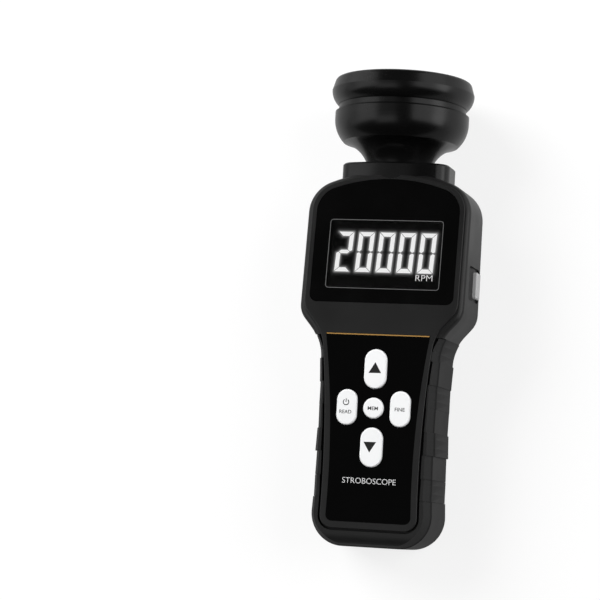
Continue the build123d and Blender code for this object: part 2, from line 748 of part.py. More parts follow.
def cover_screw():
    """Low-headed screw of the battery cover."""
    head = rod(0, COVER_SCREW_HEIGHT, CASE_SCREW_HEAD_RADIUS, BACK_Z + HEAD_SINK, COVER_SEAT_Z)
    shank_end = CORE_BACK_Z + COVER_SCREW_LENGTH - SCREW_END_GAP
    return head + rod(0, COVER_SCREW_HEIGHT, CASE_SCREW_RADIUS, COVER_SEAT_Z, shank_end)


def grip():
    """Soft jacket round the handle, with bands of raised pads."""
    top = FACE_Z - FACE_STEP

    def jacket(grow, crown, tail):
        outline = housing_outline(grow)
        solid = round_backed_prism(outline, GRIP_CREASE_Z)
        height = top + crown - GRIP_CREASE_Z
        solid += extrude(Pos(0, 0, GRIP_CREASE_Z) * outline, amount=height, taper=GRIP_TAPER)
        solid = solid & side_slab(BACK_Z, top + crown, tail, TAIL_FRONT_ROUND, TAIL_BACK_ROUND)
        return solid & band(-BEYOND, GRIP_TOP)

    solid = jacket(0, 0, PAD_RAISE)
    pads = jacket(PAD_RAISE, PAD_CROWN, 0)
    starts = [FIRST_PAD + i * PAD_PITCH for i in range(PAD_COUNT)]
    for low, high in [(-BEYOND, TAIL_PAD_TOP)] + [(y, y + PAD_LENGTH) for y in starts]:
        solid += pads & band(low, high)
    solid -= handle_core()
    solid -= prism(face_outline(GRIP_GROOVE), CORE_FRONT_Z, FACE_Z + BEYOND)
    return solid - prism(cover_outline(FIT), BACK_Z, CORE_BACK_Z)


def display_panel():
    """Clear plate behind which the display sits, printed black round its window."""
    return on_display(panel_outline(), -PANEL_THICKNESS, 0)


def lcd_module():
    """Display glass and its frame, held behind the front shell."""
    frame = Pos(0, up(WINDOW_CENTRE)) * Rectangle(LCD_WIDTH, LCD_HEIGHT)
    body = on_display(frame, BOARD_BACK_W, -WALL)
    return body + on_display(window_face(WINDOW_MARGIN - FIT), -WALL, -PANEL_THICKNESS - LCD_AIR)


def keypad_label():
    """Foil with the openings of the keys."""
    top = FACE_Z - LABEL_RECESS + LABEL_THICKNESS
    label = prism(label_outline(), FACE_Z - LABEL_RECESS, top)
    for opening in key_openings(FIT, FACE_Z - LABEL_RECESS, top):
        label -= opening
    return label


def keypad_key(face, x, y):
    """A key with its retaining flange, which stops it against the shell."""
    cap = prism(face, CEILING_Z, FACE_Z + KEY_PROUD)
    cap = fillet(cap.edges().group_by(Axis.Z)[-1], KEY_RIM_ROUND)
    flange = prism(offset(face, KEY_FLANGE_MARGIN), KEY_FLANGE_Z, CEILING_Z)
    return Pos(x, y, 0) * (cap + flange)


def side_key():
    """Key in the right side, with its retaining flange."""
    outer = DISPLAY_HALF_WIDTH + SIDE_KEY_PROUD
    cap = side_prism(side_key_face(0), SIDE_WALL_INNER, outer)
    cap = fillet(cap.edges().group_by(Axis.X)[-1], SIDE_KEY_RIM_ROUND)
    flange = side_prism(side_key_face(KEY_FLANGE_MARGIN), SIDE_WALL_INNER - KEY_FLANGE, SIDE_WALL_INNER)
    return cap + flange


def push_switch():
    """A small push switch, standing on Z = 0."""
    body = Pos(0, 0, SWITCH_BODY / 2) * Box(SWITCH_SIZE, SWITCH_SIZE, SWITCH_BODY)
    return body + rod(0, 0, SWITCH_PLUNGER_RADIUS, SWITCH_BODY, SWITCH_HEIGHT)


def key_switches():
    """One switch under each key of the keypad."""
    return [Pos(x, y, KEY_BOARD_Z) * push_switch() for _, x, y in key_faces().values()]


def key_board():
    """Board under the keypad."""
    length = KEY_BOARD_TOP - KEY_BOARD_BOTTOM
    face = RectangleRounded(2 * KEY_BOARD_HALF_WIDTH, length, BOARD_CORNER)
    face = Pos(0, KEY_BOARD_BOTTOM + length / 2) * face
    for x, y in key_post_places():
        face -= Pos(x, y) * Circle(BOARD_SCREW_RADIUS + SCREW_CLEARANCE)
    return prism(face, KEY_BOARD_Z - BOARD_THICKNESS, KEY_BOARD_Z)


def main_board():
    """Board behind the display."""
    low, high = up(MAIN_BOARD_BOTTOM), up(MAIN_BOARD_TOP)
    face = Pos(0, (low + high) / 2) * RectangleRounded(2 * MAIN_BOARD_HALF_WIDTH, high - low, BOARD_CORNER)
    for x, v in main_post_places():
        face -= Pos(x, v) * Circle(BOARD_SCREW_RADIUS + SCREW_CLEARANCE)
    return on_display(face, BOARD_BACK_W - BOARD_THICKNESS, BOARD_BACK_W)


def board_screws():
    """Screws that hold the two boards to their posts, driven from behind."""
    head = rod(0, 0, BOARD_SCREW_HEAD_RADIUS, -BOARD_SCREW_HEAD_HEIGHT, 0)
    shank_end = BOARD_THICKNESS + BOARD_SCREW_LENGTH - SCREW_END_GAP
    screw = head + rod(0, 0, BOARD_SCREW_RADIUS, 0, shank_end)
    main_level = BOARD_BACK_W - BOARD_THICKNESS
    main = [DISPLAY_PLANE * Pos(x, v, main_level) * screw for x, v in main_post_places()]
    keys = [Pos(x, y, KEY_BOARD_Z - BOARD_THICKNESS) * screw for x, y in key_post_places()]
    return main + keys


def side_key_board():
    """Small upright board behind the side key."""
    half = SIDE_BOARD_LENGTH / 2
    return block(
        (SIDE_SWITCH_SEAT - BOARD_THICKNESS, SIDE_SWITCH_SEAT),
        (SIDE_KEY_HEIGHT - half, SIDE_KEY_HEIGHT + half),
        (BACK_Z + WALL, SIDE_BOARD_TOP_Z),
    )


def side_board_ribs():
    """Slotted ribs that hold the side key's board at both ends."""
    ribs = []
    for end in (-1, 1):
        y = SIDE_KEY_HEIGHT + end * SIDE_BOARD_LENGTH / 2
        rib = block(
            (SIDE_SWITCH_SEAT - BOARD_THICKNESS - RIB_THICKNESS, SIDE_SWITCH_SEAT + RIB_THICKNESS),
            sorted((y - end * RIB_GRASP, y + end * RIB_THICKNESS)),
            (BACK_Z + WALL / 2, SIDE_BOARD_TOP_Z - RIB_GRASP / 2),
        )
        ribs.append(rib - side_key_board())
    return ribs


def side_switch():
    """Switch behind the side key."""
    turn = Location((SIDE_SWITCH_SEAT, SIDE_KEY_HEIGHT, SIDE_KEY_Z), (0, 90, 0))
    return turn * push_switch()


def case_screws():
    """Screws that hold the two shells together."""
    screws = []
    for x, y in case_screw_places():
        seat = CASE_SCREW_SEAT_Z
        outside = seat - CASE_SCREW_HEAD_HEIGHT
        head = rod(x, y, CASE_SCREW_HEAD_RADIUS, outside, seat)
        socket = rod(x, y, CASE_SCREW_SOCKET_RADIUS, outside, outside + CASE_SCREW_SOCKET_DEPTH)
        shank = rod(x, y, CASE_SCREW_RADIUS, seat, seat + CASE_SCREW_LENGTH)
        screws.append(head + shank - socket)
    return screws


def tripod_insert():
    """Brass insert with a tripod thread."""
    end = BACK_Z + TRIPOD_INSERT_LENGTH
    body = rod(0, TRIPOD_HEIGHT, TRIPOD_INSERT_RADIUS, BACK_Z, end)
    return body - rod(0, TRIPOD_HEIGHT, TRIPOD_THREAD_RADIUS, BACK_Z, end)


def battery_cell(x):
    """Round cell with its nub towards the lamp."""
    profile = Pos(CELL_DIAMETER / 4, CELL_LENGTH / 2) * Rectangle(CELL_DIAMETER / 2, CELL_LENGTH)
    cell = fillet(turned(profile).edges(), CELL_EDGE)
    cell += tube(0, CELL_NUB_RADIUS, CELL_LENGTH, CELL_LENGTH + CELL_NUB_LENGTH)
    return Pos(x, BAY_BOTTOM + SPRING_LENGTH, CELL_Z) * cell


def contact_springs():
    """Contact springs at the tail end of the bay, each as its closed cone."""
    springs = []
    for x in (-CELL_PITCH, 0, CELL_PITCH):
        points = [(0, 0), (SPRING_RADIUS, 0)]
        step = SPRING_LENGTH / SPRING_TURNS
        for i in range(SPRING_TURNS):
            waist = SPRING_RADIUS - (i + 1) * SPRING_TURN_SHRINK
            points += [(waist, (i + 0.5) * step), (waist + SPRING_WIRE, (i + 1) * step)]
        points += [(0, SPRING_LENGTH)]
        cone = turned(make_face(Polyline(*points, close=True)))
        springs.append(Pos(x, BAY_BOTTOM, CELL_Z) * cone)
    return springs


def contact_plates():
    """Contact plates at the upper end of the bay."""
    half = CELL_DIAMETER / 2 - CONTACT_INSET
    thickness = (BAY_TOP - CONTACT_THICKNESS, BAY_TOP)
    level = (CELL_Z - CONTACT_INSET, CELL_Z + half)
    return [block((x - half, x + half), thickness, level) for x in (-CELL_PITCH, 0, CELL_PITCH)]


def neck_collar(seat):
    """Block on the arch of the housing, with a flanged spigot held by the shells."""
    half, depth = COLLAR_HALF_WIDTH, COLLAR_HALF_DEPTH
    edge = depth - arch_drop(half, COLLAR_BULGE_RADIUS)
    front = ThreePointArc((-half, edge), (0, depth), (half, edge))
    section = closed_face(
        front,
        Line((half, edge), (half, -edge)),
        mirror(front, about=Plane.XZ),
        Line((-half, -edge), (-half, edge)),
    )
    section = fillet(section.vertices(), COLLAR_CORNER)
    bottom = ARCH_TOP - arch_drop(half, ARCH_RADIUS) - COLLAR_SINK
    top_plane = Plane((0, COLLAR_TOP, 0), x_dir=(1, 0, 0), z_dir=(0, -1, 0))
    body = extrude(top_plane * section, amount=COLLAR_TOP - bottom)
    body = chamfer(body.edges().group_by(Axis.Y)[-1], COLLAR_EDGE)
    body -= seat
    body += tube(0, SPIGOT_RADIUS, SPIGOT_BOTTOM, COLLAR_TOP - COLLAR_EDGE)
    body += tube(0, SPIGOT_FLANGE_RADIUS, SPIGOT_BOTTOM, SPIGOT_BOTTOM + SPIGOT_FLANGE)
    return body - tube(0, STUB_RADIUS + FIT / 2, SPIGOT_BOTTOM, COLLAR_TOP)


def lamp_housing():
    """Neck and bell, turned as one piece with the stub that goes through the collar."""
    outer = [
        Line((STUB_RADIUS, STUB_BOTTOM), (STUB_RADIUS, COLLAR_TOP)),
        Line((STUB_RADIUS, COLLAR_TOP), (NECK_RADIUS, COLLAR_TOP)),
        ThreePointArc((NECK_RADIUS, COLLAR_TOP), FLARE_MIDDLE, BELL_CREASE),
        ThreePointArc(BELL_CREASE, BELL_MIDDLE, (BELL_RADIUS, BELL_WIDEST)),
        Line((BELL_RADIUS, BELL_WIDEST), (BELL_RADIUS, BELL_TOP)),
        Line((BELL_RADIUS, BELL_TOP), (BAND_RADIUS, BAND_BOTTOM)),
        Line((BAND_RADIUS, BAND_BOTTOM), (BAND_RADIUS, RING_BOTTOM)),
        Line((BAND_RADIUS, RING_BOTTOM), (THREAD_RADIUS, RING_BOTTOM)),
        Line((THREAD_RADIUS, RING_BOTTOM), (THREAD_RADIUS, LAMP_RIM)),
    ]
    seat_radius = LED_BOARD_RADIUS - LED_BOARD_LEDGE
    cone_end = COLLAR_TOP + WALL
    inner = Polyline(
        (THREAD_RADIUS, LAMP_RIM),
        (BOWL_RADIUS, LAMP_RIM),
        (BOWL_RADIUS, BELL_WIDEST),
        (LED_BOARD_RADIUS + FIT / 2, BELL_WIDEST - WALL),
        (LED_BOARD_RADIUS + FIT / 2, LED_BOARD_SEAT),
        (seat_radius, LED_BOARD_SEAT),
        (seat_radius, LED_BOARD_SEAT - WALL),
        (WIRE_BORE_RADIUS, cone_end),
        (WIRE_BORE_RADIUS, STUB_BOTTOM),
        (STUB_RADIUS, STUB_BOTTOM),
    )
    return turned(closed_face(*outer, inner))


def neck_nut():
    """Nut on the stub, which pulls lamp and collar onto the housing."""
    return tube(STUB_RADIUS, NUT_RADIUS, SPIGOT_BOTTOM - NUT_HEIGHT, SPIGOT_BOTTOM)


def front_ring():
    """Rounded ring, screwed over the lamp housing, which holds the lens."""
    angle = asin((RING_WIDEST - RING_BOTTOM) / RING_ROUND) / 2
    middle = (RING_ROUND_CENTRE + RING_ROUND * cos(angle), RING_WIDEST - RING_ROUND * sin(angle))
    outer = [
        ThreePointArc((RING_LOWER_RADIUS, RING_BOTTOM), middle, (RING_RADIUS, RING_WIDEST)),
        Line((RING_RADIUS, RING_WIDEST), RING_SHOULDER),
        ThreePointArc(RING_SHOULDER, RING_SHOULDER_MIDDLE, (RING_TOP_RADIUS, RING_TOP)),
        Line((RING_TOP_RADIUS, RING_TOP), (RING_MOUTH_RADIUS + RING_MOUTH_CHAMFER, RING_TOP)),
    ]
    inner = Polyline(
        (RING_MOUTH_RADIUS + RING_MOUTH_CHAMFER, RING_TOP),
        (RING_MOUTH_RADIUS, RING_LIP + RING_LIP_EDGE),
        (RING_MOUTH_RADIUS, RING_LIP),
        (RING_BORE_RADIUS, RING_LIP),
        (RING_BORE_RADIUS, RING_BOTTOM),
        (RING_LOWER_RADIUS, RING_BOTTOM),
    )
    return turned(closed_face(*outer, inner))


def reflector():
    """Thin polished bowl whose flange lies on the rim of the lamp housing."""
    floor = LED_BOARD_SEAT + BOARD_THICKNESS
    wall = REFLECTOR_WALL
    profile = Polyline(
        (REFLECTOR_FLOOR_RADIUS, floor),
        (REFLECTOR_FLOOR_RADIUS + wall, floor),
        (REFLECTOR_MOUTH_RADIUS + wall / 2, LAMP_RIM - REFLECTOR_RIM_DEPTH),
        (REFLECTOR_MOUTH_RADIUS + wall / 2, LAMP_RIM),
        (LENS_RADIUS, LAMP_RIM),
        (LENS_RADIUS, LENS_SEAT),
        (REFLECTOR_MOUTH_RADIUS - wall / 2, LENS_SEAT),
        (REFLECTOR_MOUTH_RADIUS - wall / 2, LAMP_RIM - REFLECTOR_RIM_DEPTH),
        close=True,
    )
    return turned(make_face(profile))


def led_places():
    """Hexagonal field of LEDs."""
    rows = ceil(LED_FIELD_RADIUS / LED_PITCH) + 1
    places = []
    for row in range(-rows, rows + 1):
        for column in range(-rows, rows + 1):
            x = (column + row / 2) * LED_PITCH
            z = row * LED_PITCH * sqrt(3) / 2
            if hypot(x, z) <= LED_FIELD_RADIUS:
                places.append((x, z))
    return places


def leds():
    """The LEDs, standing on their board."""
    floor = LED_BOARD_SEAT + BOARD_THICKNESS
    dome = LED_HEIGHT - LED_RADIUS
    shoulder = LED_RADIUS * sqrt(0.5)
    profile = closed_face(
        Polyline((0, LED_HEIGHT), (0, 0), (LED_RADIUS, 0), (LED_RADIUS, dome)),
        ThreePointArc((LED_RADIUS, dome), (shoulder, dome + shoulder), (0, LED_HEIGHT)),
    )
    led = turned(profile)
    return [Pos(x, floor, z) * led for x, z in led_places()]


def laid_on_its_back():
    """Placement that lays the instrument on its ring and on the back edge of its tail.

    Both are round there, so the table is the common tangent of two circles.
    The middle of the instrument comes over the origin.
    """
    reach = RING_WIDEST - TAIL_BACK_ROUND
    drop = RING_ROUND_CENTRE + BACK_Z + TAIL_BACK_ROUND
    tilt = atan2(drop, reach) + asin((RING_ROUND - TAIL_BACK_ROUND) / hypot(reach, drop))
    table = RING_WIDEST * sin(tilt) - RING_ROUND_CENTRE * cos(tilt) - RING_ROUND
    lamp_end = RING_TOP * cos(tilt) + RING_TOP_RADIUS * sin(tilt)
    tail_front = FACE_Z - FACE_STEP + PAD_CROWN - TAIL_FRONT_ROUND
    tail_end = TAIL_FRONT_ROUND * (cos(tilt) - 1) - tail_front * sin(tilt)
    return Location((0, -(lamp_end + tail_end) / 2, -table), (degrees(tilt), 0, 0))


def build():
    """All pieces, by name, in the upright frame."""
    whole = housing()
    seat = display_part() + raised_face()
    pieces = {
        "front_shell": front_shell(whole),
        "rear_shell": rear_shell(whole),
        "grip": grip(),
        "display_panel": display_panel(),
        "lcd_module": lcd_module(),
        "keypad_label": keypad_label(),
        "side_key": side_key(),
        "key_board": key_board(),
        "key_switches": key_switches(),
        "main_board": main_board(),
        "side_key_board": side_key_board(),
        "side_switch": side_switch(),
        "board_screws": board_screws(),
        "battery_cover": battery_cover(),
        "cover_screw": cover_screw(),
        "left_cell": battery_cell(-CELL_PITCH),
        "middle_cell": battery_cell(0),
        "right_cell": battery_cell(CELL_PITCH),
        "contact_springs": contact_springs(),
        "contact_plates": contact_plates(),
        "case_screws": case_screws(),
        "tripod_insert": tripod_insert(),
        "neck_collar": neck_collar(seat),
        "lamp_housing": lamp_housing(),
        "neck_nut": neck_nut(),
        "front_ring": front_ring(),
        "lens": tube(0, LENS_RADIUS, LENS_SEAT, LENS_SEAT + LENS_THICKNESS),
        "lens_seal": tube(SEAL_INNER_RADIUS, LENS_RADIUS, LENS_SEAT + LENS_THICKNESS, RING_LIP),
        "reflector": reflector(),
        "led_board": tube(0, LED_BOARD_RADIUS, LED_BOARD_SEAT, LED_BOARD_SEAT + BOARD_THICKNESS),
        "leds": leds(),
    }
    for name, (face, x, y) in key_faces().items():
        pieces[name] = keypad_key(face, x, y)
    return pieces


def main():
    os.makedirs("parts", exist_ok=True)
    place = laid_on_its_back()
    for name, piece in build().items():
        solids = piece if isinstance(piece, list) else [piece]
        placed = [place * solid for solid in solids]
        shape = placed[0] if len(placed) == 1 else Compound(children=placed)
        export_step(shape, f"parts/{name}.step")


main()
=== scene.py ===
import json
import math

import bmesh
import bpy
from mathutils import Matrix, Vector

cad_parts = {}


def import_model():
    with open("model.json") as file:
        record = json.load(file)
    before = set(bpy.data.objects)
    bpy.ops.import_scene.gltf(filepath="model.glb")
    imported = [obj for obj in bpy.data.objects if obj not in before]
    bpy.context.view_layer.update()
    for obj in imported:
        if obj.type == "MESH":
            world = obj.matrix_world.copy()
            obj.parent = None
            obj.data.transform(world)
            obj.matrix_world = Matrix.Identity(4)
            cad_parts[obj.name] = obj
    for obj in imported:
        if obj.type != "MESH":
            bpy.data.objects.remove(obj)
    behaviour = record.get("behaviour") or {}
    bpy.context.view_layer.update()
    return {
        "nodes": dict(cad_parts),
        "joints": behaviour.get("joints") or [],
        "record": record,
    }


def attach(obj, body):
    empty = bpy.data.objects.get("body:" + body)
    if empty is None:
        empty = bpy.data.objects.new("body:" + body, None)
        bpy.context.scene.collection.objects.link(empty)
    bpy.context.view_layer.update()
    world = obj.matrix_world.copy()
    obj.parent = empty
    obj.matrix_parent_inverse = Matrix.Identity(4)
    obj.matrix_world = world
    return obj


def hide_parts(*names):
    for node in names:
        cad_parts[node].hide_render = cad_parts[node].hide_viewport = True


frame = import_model()
NODES = frame["nodes"]
RECORD = frame["record"]

MM = 0.001

# Sizes that the print and the display share with the solids, in millimetres
FACE_Z = 24.0
FACE_BEND_HEIGHT = 104.7
FACE_LEAN = math.radians(6.0)
KEY_TOP_Z = 25.3
LABEL_TOP_Z = 24.1
PANEL_THICKNESS = 1.5
LCD_TOP = -1.6
WINDOW = (55.8, 33.8)
WINDOW_MIDDLE = 35.09
WINDOW_CORNER = 1.5
THREAD_PLACE = (0.0, 128.3, -12.25)
INK = 0.02

# Clear pane in the window, and the thin line round it
PANE_AIR = 0.03
LINE_OUTSIDE = 0.1
LINE_INSIDE = 0.5
LINE_CORNERS = (1.55, 1.25)

# Digits of the display
DIGITS = "20000"
DIGIT_WIDTH = 7.6
DIGIT_HEIGHT = 19.6
DIGIT_PITCH = 10.21
DIGIT_BOTTOM = 26.5
FIRST_DIGIT = -24.45
DIGIT_SLANT = 0.047
STROKE = 2.0
BREAK = 0.2
WAIST_SHARE = 0.42
SEGMENTS = {"0": "abcdef", "2": "abged"}
DIGITS_ABOVE_LCD = 0.04

# Light that spills round the digits: strength and reach of a close and a wide part
GLOW_STEP = 0.3
GLOW_MARGIN = 0.4
GLOW_REACH = 1.9
GLOW_PARTS = ((0.20, 0.6), (0.03, 1.5))
GROUND_ABOVE_LCD = 0.015

# Height of a capital letter as a share of the font's size
CAPITAL_SHARE = 0.72

# Low pads that fill the bands between the grip's raised pads
PAD_LENGTH = 11.2
PAD_SHIFT = 11.1
PAD_STARTS = (33.4, 55.6, 77.8)
LOW_PAD_RAISE = 0.35
LOW_PAD_AIR = 0.15
LOW_PAD_SINK_FRONT = 0.12
LOW_PAD_SINK_BACK = 0.06
FIRST_GAP = (22.9, 33.4)
CUT_STEP = 1.0
STATION_INSET = 0.5
SLAB = (120.0, 80.0)
# Where the painted shade runs along the grip's crease, and how far it reaches
CREASE_LEVEL = 17.6
CREASE_REACH = 1.5

# Camera: angles in degrees, lengths in millimetres, focal length and width in pixels
CAMERA_YAW, CAMERA_PITCH, CAMERA_ROLL = 16.18947, -5.55197, -3.41629
CAMERA_DISTANCE = 1142.667
CAMERA_FOCAL = 2354.101
CAMERA_SLIDE = (44.58378, -1.21984)
CAMERA_MIDDLE = (0, 118.7, 0)
PICTURE_WIDTH = 600
SENSOR_WIDTH = 36.0

# Room: where a side of the world starts and ends, and its strength before and after
ROOM_DARK = 0.012
RIGHT_PANEL = (0.44, 0.55, 0.0, 0.80)
RIGHT_RIM = (0.88, 0.96, 0.0, 0.90)
LEFT_PANEL = (-0.44, -0.56, 0.0, 0.85)
LEFT_RIM = (-0.86, -0.97, 0.0, -0.40)
PANEL_TAIL_END = (-0.48, -0.28, 0.0, 1.0)
ABOVE_SOFT = (0.18, 0.10, 0.0, 0.22)
ABOVE_BRIGHT = (-0.15, -0.28, 0.0, 0.30)
ABOVE_LIMITS_X = ((-0.55, -0.42, 0.0, 1.0), (0.0, 0.10, 1.0, 0.0))
ABOVE_TAIL_END = (-0.64, -0.50, 0.0, 1.0)

# Floor: half its side, its strength to the camera, and the painted light it shows in reflections from tail
# to head
FLOOR_HALF = 2.5
FLOOR_SEEN = 0.80
FLOOR_TAIL = 0.29
FLOOR_HEAD = 0.54
FLOOR_RISE = (0.005, 0.075)


# Placement: the instrument is drawn upright and lies tilted on the table
def upright_matrix():
    """Upright millimetres to the frame, from the keys' direction and the tripod thread's place."""
    keys = [j for j in frame["joints"] if j["name"] == "up_press"]
    press = Vector(keys[0]["axis"])
    turn = Matrix.Rotation(math.atan2(press.y, -press.z), 4, "X")
    thread = [m for m in RECORD["mounts"] if m["name"] == "tripod_thread"][0]
    origin = Vector(thread["pos_m"]) - turn @ (Vector(THREAD_PLACE) * MM)
    return Matrix.Translation(origin) @ turn @ Matrix.Scale(MM, 4)


UPRIGHT = upright_matrix()
DISPLAY = UPRIGHT @ Matrix.Translation((0, FACE_BEND_HEIGHT, FACE_Z)) @ Matrix.Rotation(-FACE_LEAN, 4, "X")


def keypad_plane(level):
    """Plane parallel to the keypad, at a level of the upright instrument."""
    return UPRIGHT @ Matrix.Translation((0, 0, level))


def display_plane(level):
    """Plane parallel to the leaning display's face, at a level above it."""
    return DISPLAY @ Matrix.Translation((0, 0, level))


# Material helpers
def new_material(name, colour, roughness, **sockets):
    """A Principled material whose uniform values are set on its own sockets."""
    mat = bpy.data.materials.new(name)
    mat.use_nodes = True
    shader = mat.node_tree.nodes["Principled BSDF"]
    shader.inputs["Base Color"].default_value = (*colour, 1)
    shader.inputs["Roughness"].default_value = roughness
    for key, value in sockets.items():
        shader.inputs[key.replace("_", " ")].default_value = value
    return mat


def add(mat, kind, **values):
    """New node in a material, with its settings."""
    node = mat.node_tree.nodes.new(kind)
    for key, value in values.items():
        setattr(node, key, value)
    return node


def link(mat, source, target):
    """Joins two sockets of a material."""
    mat.node_tree.links.new(source, target)


def noise(mat, scale, detail=3.0, roughness=0.55, stretch=(1, 1, 1)):
    """Noise in the piece's own coordinates; scale is in waves per metre."""
    place = add(mat, "ShaderNodeTexCoord").outputs["Object"]
    if stretch != (1, 1, 1):
        mapping = add(mat, "ShaderNodeMapping")
        mapping.inputs["Scale"].default_value = stretch
        link(mat, place, mapping.inputs["Vector"])
        place = mapping.outputs["Vector"]
    node = add(mat, "ShaderNodeTexNoise")
    node.inputs["Scale"].default_value = scale
    node.inputs["Detail"].default_value = detail
    node.inputs["Roughness"].default_value = roughness
    link(mat, place, node.inputs["Vector"])
    return node.outputs["Fac"]


def spread(mat, source, low, high, start=0.3, end=0.7):
    """Maps a noise onto a range of values."""
    node = add(mat, "ShaderNodeMapRange")
    node.inputs["From Min"].default_value = start
    node.inputs["From Max"].default_value = end
    node.inputs["To Min"].default_value = low
    node.inputs["To Max"].default_value = high
    link(mat, source, node.inputs["Value"])
    return node.outputs["Result"]


def tint(mat, source, dark, light):
    """Colour between two tones, driven by a noise."""
    node = add(mat, "ShaderNodeMix", data_type="RGBA")
    node.inputs["A"].default_value = (*dark, 1)
    node.inputs["B"].default_value = (*light, 1)
    factor = spread(mat, source, 0.0, 1.0)
    link(mat, factor, node.inputs["Factor"])
    shader = mat.node_tree.nodes["Principled BSDF"]
    link(mat, node.outputs["Result"], shader.inputs["Base Color"])


def vary_roughness(mat, source, low, high):
    """Roughness between two values, driven by a noise."""
    shader = mat.node_tree.nodes["Principled BSDF"]
    link(mat, spread(mat, source, low, high), shader.inputs["Roughness"])


def bump(mat, source, height, strength=1.0):
    """Surface relief from a noise; height in metres."""
    node = add(mat, "ShaderNodeBump")
    node.inputs["Strength"].default_value = strength
    node.inputs["Distance"].default_value = height
    link(mat, source, node.inputs["Height"])
    shader = mat.node_tree.nodes["Principled BSDF"]
    link(mat, node.outputs["Normal"], shader.inputs["Normal"])


def grey(value):
    return (value, value, value)


def moulded(name, tone, roughness, grain=2600.0, depth=0.000012, spread_tone=0.12, **sockets):
    """Moulded plastic or rubber: fine grain, with slow changes of tone and gloss."""
    mat = new_material(name, tone, roughness, **sockets)
    slow = noise(mat, 45.0, detail=4.0)
    tint(mat, slow, [c * (1 - spread_tone) for c in tone], [c * (1 + spread_tone) for c in tone])
    vary_roughness(mat, slow, roughness - 0.04, roughness + 0.04)
    bump(mat, noise(mat, grain, detail=2.0), depth)
    return mat


# Materials
HOUSING = moulded("housing_plastic", grey(0.010), 0.36)
GRIP = moulded("grip_rubber", grey(0.010), 0.5, grain=3200.0, depth=0.000010)
LAMP = moulded("lamp_plastic", grey(0.003), 0.24, grain=1800.0, depth=0.000003)
GLOSS_BLACK = moulded("gloss_black", grey(0.0018), 0.12, grain=400.0, depth=0.000003, spread_tone=0.1)
LABEL = moulded(
    "label_film", grey(0.0006), 0.16, grain=500.0, depth=0.000003, spread_tone=0.1, Specular_IOR_Level=0.1
)
KEYS = moulded("key_plastic", (0.87, 0.875, 0.88), 0.42, grain=2600.0, depth=0.000008, spread_tone=0.015)
SIDE_KEY = moulded("side_key_plastic", grey(0.50), 0.33, grain=2000.0, depth=0.000006, spread_tone=0.04)
RUBBER = moulded("seal_rubber", grey(0.02), 0.6)


def paint_crease_shade(mat, level, reach):
    """Painted shade in the crease between the grip's ridge and its side: the gloss is taken off there so the
    crease shows darker; upright millimetres.
    """
    out = (UPRIGHT.to_3x3() @ Vector((0, 0, 1))).normalized()
    along = add(mat, "ShaderNodeVectorMath", operation="DOT_PRODUCT")
    along.inputs[1].default_value = out
    link(mat, add(mat, "ShaderNodeTexCoord").outputs["Object"], along.inputs[0])
    away = add(mat, "ShaderNodeMath", operation="SUBTRACT")
    away.inputs[1].default_value = out.dot(UPRIGHT.translation) + level * MM
    link(mat, along.outputs["Value"], away.inputs[0])
    gap = add(mat, "ShaderNodeMath", operation="ABSOLUTE")
    link(mat, away.outputs["Value"], gap.inputs[0])
    crease_shade_gloss = spread(mat, gap.outputs["Value"], 0.08, 0.5, 0.0, reach * MM)
    link(mat, crease_shade_gloss, mat.node_tree.nodes["Principled BSDF"].inputs["Specular IOR Level"])


# Painted shade along the grip's crease, made by lowering its gloss
paint_crease_shade(GRIP, CREASE_LEVEL, CREASE_REACH)
SWITCH = moulded("switch_plastic", grey(0.012), 0.5)


def metal(name, colour, roughness, stretch=(1, 1, 1)):
    """Bare metal with fine streaks."""
    mat = new_material(name, colour, roughness, Metallic=1.0)
    streaks = noise(mat, 900.0, detail=3.0, stretch=stretch)
    tint(mat, streaks, [c * 0.93 for c in colour], colour)
    vary_roughness(mat, streaks, roughness - 0.06, roughness + 0.08)
    bump(mat, streaks, 0.000004)
    return mat


STEEL = metal("screw_steel", (0.42, 0.42, 0.43), 0.32)
CELL_STEEL = metal("cell_steel", (0.60, 0.61, 0.62), 0.35, stretch=(1, 0.05, 1))
CONTACT = metal("contact_steel", (0.70, 0.70, 0.70), 0.25)
BRASS = metal("insert_brass", (0.70, 0.50, 0.21), 0.28)
MIRROR = metal("reflector_mirror", (0.80, 0.83, 0.88), 0.12)
LAMINATE = moulded("board_laminate", (0.02, 0.10, 0.045), 0.35, grain=1500.0, depth=0.000004)


def clear(name, colour, roughness, emission=0.0):
    """Clear plastic or glass, which may glow bluish white."""
    mat = new_material(name, colour, roughness, IOR=1.49, Transmission_Weight=1.0)
    bump(mat, noise(mat, 120.0, detail=1.0), 0.000002)
    if emission:
        shader = mat.node_tree.nodes["Principled BSDF"]
        shader.inputs["Emission Color"].default_value = (0.62, 0.82, 1.0, 1)
        shader.inputs["Emission Strength"].default_value = emission
    return mat


LENS = clear("lens_clear", (0.97, 0.985, 1.0), 0.02)
PANE = clear("window_clear", (0.98, 0.98, 0.98), 0.0)
LED = clear("led_clear", (0.93, 0.97, 1.0), 0.06, emission=0.55)


def print_ink(name, colour):
    """Matt printing ink."""
    mat = new_material(name, colour, 0.45)
    tint(mat, noise(mat, 900.0), [c * 0.94 for c in colour], [min(1.0, c * 1.04) for c in colour])
    return mat


WHITE_INK = print_ink("white_ink", grey(0.62))
DARK_INK = print_ink("dark_ink", grey(0.012))
ORANGE_INK = print_ink("orange_ink", (0.36, 0.20, 0.055))
LINE_INK = print_ink("window_line_ink", grey(0.11))

LIT = new_material("lit_segment", grey(0.30), 0.5, Emission_Color=(1, 1, 1, 1), Emission_Strength=0.86)


def glow_material():
    """Black display ground with the light that spills round the lit segments."""
    mat = new_material("display_glow", grey(0.002), 0.3, Emission_Strength=1.0)
    shade = add(mat, "ShaderNodeAttribute", attribute_name="glow")
    shader = mat.node_tree.nodes["Principled BSDF"]
    link(mat, shade.outputs["Color"], shader.inputs["Emission Color"])
    return mat


GLOW = glow_material()

